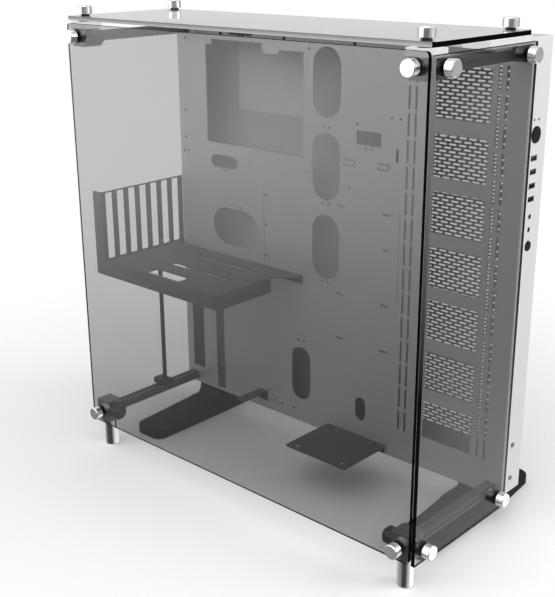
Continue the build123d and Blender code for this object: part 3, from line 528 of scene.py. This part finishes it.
def smoked(node, name, tint, across, bend, passed, ground_and_painted_light=None):
    """Tinted pane across an axis that passes a share of the lamps' light.

    The last argument holds the tone of the front edge, finished by grinding, at the bottom and at the top,
    and the share of the height at which it starts to change; that change with height is painted light.
    Shadow, diffuse and mirrored rays go straight through.
    """
    pane = bpy.data.materials.new(name)
    pane.use_nodes = True
    tree = pane.node_tree
    shader = tree.nodes["Principled BSDF"]
    shader.inputs["Transmission Weight"].default_value = 1.0
    shader.inputs["IOR"].default_value = bend
    coords = tree.nodes.new("ShaderNodeTexCoord")
    split = tree.nodes.new("ShaderNodeSeparateXYZ")
    tree.links.new(coords.outputs["Normal"], split.inputs["Vector"])
    broad = tree.nodes.new("ShaderNodeMath")
    broad.operation = "ABSOLUTE"
    tree.links.new(split.outputs[across], broad.inputs[0])
    smear = tree.nodes.new("ShaderNodeTexNoise")
    smear.inputs["Scale"].default_value = 14.0
    smear.inputs["Detail"].default_value = 6.0
    tree.links.new(coords.outputs["Object"], smear.inputs["Vector"])
    rough = tree.nodes.new("ShaderNodeMapRange")
    rough.inputs["To Min"].default_value = 0.0
    rough.inputs["To Max"].default_value = 0.02
    tree.links.new(smear.outputs["Fac"], rough.inputs["Value"])
    tree.links.new(rough.outputs["Result"], shader.inputs["Roughness"])
    smoke = tree.nodes.new("ShaderNodeMixRGB")
    smoke.inputs["Color1"].default_value = (*[0.98 * part for part in tint], 1.0)
    smoke.inputs["Color2"].default_value = (*[1.02 * part for part in tint], 1.0)
    tree.links.new(smear.outputs["Fac"], smoke.inputs["Fac"])
    ends = tree.nodes.new("ShaderNodeMixRGB")
    ends.inputs["Color1"].default_value = (*edge_tint, 1.0)
    tree.links.new(broad.outputs[0], ends.inputs["Fac"])
    tree.links.new(smoke.outputs["Color"], ends.inputs["Color2"])
    tree.links.new(ends.outputs["Color"], shader.inputs["Base Color"])
    rim = tree.nodes.new("ShaderNodeBsdfDiffuse")
    rim.inputs["Color"].default_value = (*edge_tint, 1.0)
    edge = tree.nodes.new("ShaderNodeMixShader")
    tree.links.new(broad.outputs[0], edge.inputs["Fac"])
    tree.links.new(rim.outputs["BSDF"], edge.inputs[1])
    tree.links.new(shader.outputs["BSDF"], edge.inputs[2])
    if ground_and_painted_light:
        low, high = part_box(node)
        place = tree.nodes.new("ShaderNodeSeparateXYZ")
        tree.links.new(coords.outputs["Object"], place.inputs["Vector"])
        # Painted light: the front edge's grey changes with height, from the lower tone to the upper one.
        tone_low, tone_high, start = ground_and_painted_light
        tone = tree.nodes.new("ShaderNodeMapRange")
        tone.inputs["From Min"].default_value = low.z + start * (high.z - low.z)
        tone.inputs["From Max"].default_value = high.z
        tone.inputs["To Min"].default_value = tone_low
        tone.inputs["To Max"].default_value = tone_high
        tree.links.new(place.outputs["Z"], tone.inputs["Value"])
        at_front = tree.nodes.new("ShaderNodeMath")
        at_front.operation = "LESS_THAN"
        at_front.inputs[1].default_value = low.y + edge_reach
        tree.links.new(place.outputs["Y"], at_front.inputs[0])
        satin_and_painted_light = tree.nodes.new("ShaderNodeMixRGB")
        satin_and_painted_light.inputs["Color1"].default_value = (*edge_tint, 1.0)
        tree.links.new(at_front.outputs[0], satin_and_painted_light.inputs["Fac"])
        tree.links.new(tone.outputs["Result"], satin_and_painted_light.inputs["Color2"])
        tree.links.new(satin_and_painted_light.outputs["Color"], rim.inputs["Color"])
        tree.links.new(satin_and_painted_light.outputs["Color"], ends.inputs["Color1"])
    clear = tree.nodes.new("ShaderNodeBsdfTransparent")
    clear.inputs["Color"].default_value = (passed, passed, passed, 1.0)
    path = tree.nodes.new("ShaderNodeLightPath")
    scattered = tree.nodes.new("ShaderNodeMath")
    scattered.operation = "MAXIMUM"
    tree.links.new(path.outputs["Is Shadow Ray"], scattered.inputs[0])
    tree.links.new(path.outputs["Is Diffuse Ray"], scattered.inputs[1])
    mirrored_ray = tree.nodes.new("ShaderNodeMath")
    mirrored_ray.operation = "SUBTRACT"
    mirrored_ray.use_clamp = True
    tree.links.new(path.outputs["Is Glossy Ray"], mirrored_ray.inputs[0])
    tree.links.new(path.outputs["Is Transmission Ray"], mirrored_ray.inputs[1])
    indirect = tree.nodes.new("ShaderNodeMath")
    indirect.operation = "MAXIMUM"
    tree.links.new(scattered.outputs[0], indirect.inputs[0])
    tree.links.new(mirrored_ray.outputs[0], indirect.inputs[1])
    choose = tree.nodes.new("ShaderNodeMixShader")
    tree.links.new(indirect.outputs[0], choose.inputs["Fac"])
    tree.links.new(edge.outputs["Shader"], choose.inputs[1])
    tree.links.new(clear.outputs["BSDF"], choose.inputs[2])
    tree.links.new(choose.outputs["Shader"], tree.nodes["Material Output"].inputs["Surface"])
    dress(pane, node)


front_tint = (0.44, 0.44, 0.443)
smoked("front_glass", "front_smoke", front_tint, across="Y", bend=1.5, passed=0.88)
# Painted light: the top pane's front edge is lighter low down, the side pane's is black low and grey high.
top_tint, top_edge_grey_and_light = (0.48, 0.48, 0.483), (0.62, 0.24, 0.0)
smoked("top_glass", "top_smoke", top_tint, across="Z", bend=1.5, passed=0.95, ground_and_painted_light=top_edge_grey_and_light)
side_tint, side_edge_grey_and_light = (0.435, 0.435, 0.438), (0.006, 0.26, 0.36)
smoked("side_glass", "side_smoke", side_tint, across="X", bend=1.25, passed=0.9, ground_and_painted_light=side_edge_grey_and_light)

# Floor: a wide pale sheet of studio paper under the bench, which keeps its soft shadow.
# Away from the bench it turns plain white for the camera, and it throws little light back up.
floor_half = 6.0
fade_near, fade_far = 0.24, 0.95
floor_pale, floor_paler, floor_thrown = (0.92, 0.92, 0.92), (0.94, 0.94, 0.94), (0.15, 0.15, 0.15)
sweep = bmesh.new()
bmesh.ops.create_grid(sweep, x_segments=1, y_segments=1, size=floor_half)
floor_mesh = bpy.data.meshes.new("floor")
sweep.to_mesh(floor_mesh)
sweep.free()
floor = bpy.data.objects.new("floor", floor_mesh)
bpy.context.scene.collection.objects.link(floor)
floor_paint = bpy.data.materials.new("floor_paint")
floor_paint.use_nodes = True
floor_tree = floor_paint.node_tree
floor_shader = floor_tree.nodes["Principled BSDF"]
floor_shader.inputs["Roughness"].default_value = 0.7
floor_grain = floor_tree.nodes.new("ShaderNodeTexNoise")
floor_grain.inputs["Scale"].default_value = 3.0
floor_tone = floor_tree.nodes.new("ShaderNodeMixRGB")
floor_tone.inputs["Color1"].default_value = (*floor_pale, 1.0)
floor_tone.inputs["Color2"].default_value = (*floor_paler, 1.0)
floor_tree.links.new(floor_grain.outputs["Fac"], floor_tone.inputs["Fac"])
floor_coords = floor_tree.nodes.new("ShaderNodeTexCoord")
floor_reach = floor_tree.nodes.new("ShaderNodeVectorMath")
floor_reach.operation = "LENGTH"
floor_tree.links.new(floor_coords.outputs["Object"], floor_reach.inputs[0])
floor_fade = floor_tree.nodes.new("ShaderNodeMapRange")
floor_fade.interpolation_type = "SMOOTHSTEP"
floor_fade.inputs["From Min"].default_value = fade_near
floor_fade.inputs["From Max"].default_value = fade_far
floor_tree.links.new(floor_reach.outputs["Value"], floor_fade.inputs["Value"])
floor_path = floor_tree.nodes.new("ShaderNodeLightPath")
floor_dim = floor_tree.nodes.new("ShaderNodeMixRGB")
floor_dim.inputs["Color2"].default_value = (*floor_thrown, 1.0)
floor_tree.links.new(floor_path.outputs["Is Diffuse Ray"], floor_dim.inputs["Fac"])
floor_tree.links.new(floor_tone.outputs["Color"], floor_dim.inputs["Color1"])
floor_tree.links.new(floor_dim.outputs["Color"], floor_shader.inputs["Base Color"])
floor_seen = floor_tree.nodes.new("ShaderNodeMath")
floor_seen.operation = "MAXIMUM"
floor_tree.links.new(floor_path.outputs["Is Camera Ray"], floor_seen.inputs[0])
floor_tree.links.new(floor_path.outputs["Is Transmission Ray"], floor_seen.inputs[1])
floor_white = floor_tree.nodes.new("ShaderNodeMath")
floor_white.operation = "MULTIPLY"
floor_tree.links.new(floor_fade.outputs["Result"], floor_white.inputs[0])
floor_tree.links.new(floor_seen.outputs[0], floor_white.inputs[1])
floor_glow = floor_tree.nodes.new("ShaderNodeEmission")
floor_mix = floor_tree.nodes.new("ShaderNodeMixShader")
floor_tree.links.new(floor_white.outputs[0], floor_mix.inputs["Fac"])
floor_tree.links.new(floor_shader.outputs["BSDF"], floor_mix.inputs[1])
floor_tree.links.new(floor_glow.outputs["Emission"], floor_mix.inputs[2])
floor_tree.links.new(floor_mix.outputs["Shader"], floor_tree.nodes["Material Output"].inputs["Surface"])
floor_mesh.materials.append(floor_paint)
floor.visible_glossy = False

# World: a white studio behind the bench. Reflections see a bright wall at the front left, a dim stand
# behind the camera, an even grey elsewhere and, low down at the right rear, the pale floor.
world = bpy.data.worlds.new("studio")
bpy.context.scene.world = world
world.use_nodes = True
sky = world.node_tree
backdrop = sky.nodes["Background"]
backdrop.inputs["Color"].default_value = (1.0, 1.0, 1.0, 1.0)
sky_coords = sky.nodes.new("ShaderNodeTexCoord")
sky_split = sky.nodes.new("ShaderNodeSeparateXYZ")
sky.links.new(sky_coords.outputs["Generated"], sky_split.inputs["Vector"])


def sky_ramp(source, start, stop, low, high):
    """A smooth step of the studio's light from one value to another."""
    ramp = sky.nodes.new("ShaderNodeMapRange")
    ramp.interpolation_type = "SMOOTHSTEP"
    ramp.inputs["From Min"].default_value = start
    ramp.inputs["From Max"].default_value = stop
    ramp.inputs["To Min"].default_value = low
    ramp.inputs["To Max"].default_value = high
    sky.links.new(source, ramp.inputs["Value"])
    return ramp.outputs["Result"]


def sky_towards(direction):
    """How far a ray points in a level direction."""
    dot = sky.nodes.new("ShaderNodeVectorMath")
    dot.operation = "DOT_PRODUCT"
    dot.inputs[1].default_value = direction
    sky.links.new(sky_coords.outputs["Generated"], dot.inputs[0])
    return dot.outputs["Value"]


def sky_math(operation, first, second):
    """One step of arithmetic on the studio's light."""
    step = sky.nodes.new("ShaderNodeMath")
    step.operation = operation
    sky.links.new(first, step.inputs[0])
    sky.links.new(second, step.inputs[1])
    return step.outputs[0]


sky_up = sky_split.outputs["Z"]
to_wall, to_stand, to_back = (-0.70, -0.71, 0.0), (0.31, -0.95, 0.0), (0.56, 0.83, 0.0)
sky_rise = sky_ramp(sky_up, start=-0.42, stop=-0.12, low=0.0, high=1.0)
wall_side = sky_ramp(sky_towards(to_wall), start=0.70, stop=0.92, low=0.0, high=1.0)
wall_glow = sky_ramp(sky_math("MULTIPLY", sky_rise, wall_side), start=0.0, stop=1.0, low=0.0, high=1.55)
room_grey = sky_ramp(sky_towards(to_stand), start=0.45, stop=0.80, low=0.50, high=0.06)
wall_low = sky_ramp(wall_side, start=0.0, stop=1.0, low=1.0, high=0.3)
back_low = sky_ramp(sky_towards(to_back), start=0.30, stop=0.80, low=1.0, high=0.8)
room = sky_math("MULTIPLY", sky_math("MULTIPLY", room_grey, wall_low), back_low)
floor_low = sky_ramp(sky_up, start=-0.54, stop=-0.33, low=0.9, high=0.0)
floor_side = sky_ramp(sky_towards(to_back), start=0.30, stop=0.80, low=0.0, high=1.0)
sides = sky_math("ADD", sky_math("ADD", room, wall_glow), sky_math("MULTIPLY", floor_low, floor_side))
ceiling = sky_ramp(sky_up, start=-0.03, stop=0.07, low=0.0, high=0.8)
mirrored = sky_math("MAXIMUM", sides, ceiling)

sky_path = sky.nodes.new("ShaderNodeLightPath")
sky_open = sky_math(
    "MAXIMUM", sky_path.outputs["Is Camera Ray"], sky_path.outputs["Is Transmission Ray"]
)
plain = sky_ramp(sky_open, start=0.0, stop=1.0, low=0.55, high=1.0)
sky_mirror = sky.nodes.new("ShaderNodeMath")
sky_mirror.operation = "SUBTRACT"
sky_mirror.use_clamp = True
sky.links.new(sky_path.outputs["Is Glossy Ray"], sky_mirror.inputs[0])
sky.links.new(sky_path.outputs["Is Transmission Ray"], sky_mirror.inputs[1])
level = sky.nodes.new("ShaderNodeMix")
sky.links.new(sky_mirror.outputs[0], level.inputs["Factor"])
sky.links.new(plain, level.inputs["A"])
sky.links.new(mirrored, level.inputs["B"])
sky.links.new(level.outputs["Result"], backdrop.inputs["Strength"])


# Lamps: a soft box overhead, one at the front left and one on the side wall's side.
# A faint one in the cable space stands for the light that the room sends in from behind.
def soft_box(name, place, aim, width, height, watts):
    """A soft box that looks at a point."""
    lamp = bpy.data.lights.new(name, "AREA")
    lamp.shape = "RECTANGLE"
    lamp.size = width
    lamp.size_y = height
    lamp.energy = watts
    holder = bpy.data.objects.new(name, lamp)
    holder.location = place
    holder.rotation_euler = (Vector(aim) - Vector(place)).to_track_quat("-Z", "Y").to_euler()
    bpy.context.scene.collection.objects.link(holder)


over_place, over_aim = (0.22, -0.72, 1.40), (0.03, 0.0, 0.35)
soft_box("overhead_box", over_place, over_aim, width=1.6, height=1.6, watts=11.5)
front_place, front_aim = (-1.3, -2.2, 1.4), (0.0, 0.0, 0.35)
soft_box("front_box", front_place, front_aim, width=1.4, height=1.4, watts=8.0)
side_place, side_aim = (2.0, 0.9, 1.25), (0.25, 0.05, 0.2)
soft_box("side_box", side_place, side_aim, width=1.4, height=1.4, watts=27.0)
cable_place, cable_aim = (-0.10, 0.036, 0.31), (-0.10, 0.076, 0.31)
soft_box("cable_box", cable_place, cable_aim, width=0.40, height=0.26, watts=0.05)

# Camera: the photo's own place and lens, a little above the bench and off its right front corner.
# It looks 19 degrees down and is level to a third of a degree.
eye = Vector((0.83957, -0.96059, 0.68591))
yaw, pitch, roll = math.radians(42.89), math.radians(19.16), math.radians(0.36)
ahead = Vector((-math.sin(yaw) * math.cos(pitch), math.cos(yaw) * math.cos(pitch), -math.sin(pitch)))
across = Vector((math.cos(yaw), math.sin(yaw), 0.0))
below = ahead.cross(across)
right = across * math.cos(roll) + below * math.sin(roll)
down = below * math.cos(roll) - across * math.sin(roll)
lens_pixels, frame_height = 1035.91, 597
camera_data = bpy.data.cameras.new("photo_camera")
camera_data.sensor_fit = "VERTICAL"
camera_data.sensor_height = 36.0
camera_data.lens = lens_pixels * camera_data.sensor_height / frame_height
camera = bpy.data.objects.new("photo_camera", camera_data)
camera.matrix_world = Matrix((right, -down, -ahead)).transposed().to_4x4()
camera.location = eye
bpy.context.scene.collection.objects.link(camera)
bpy.context.scene.camera = camera
bpy.context.scene.view_settings.view_transform = "Standard"
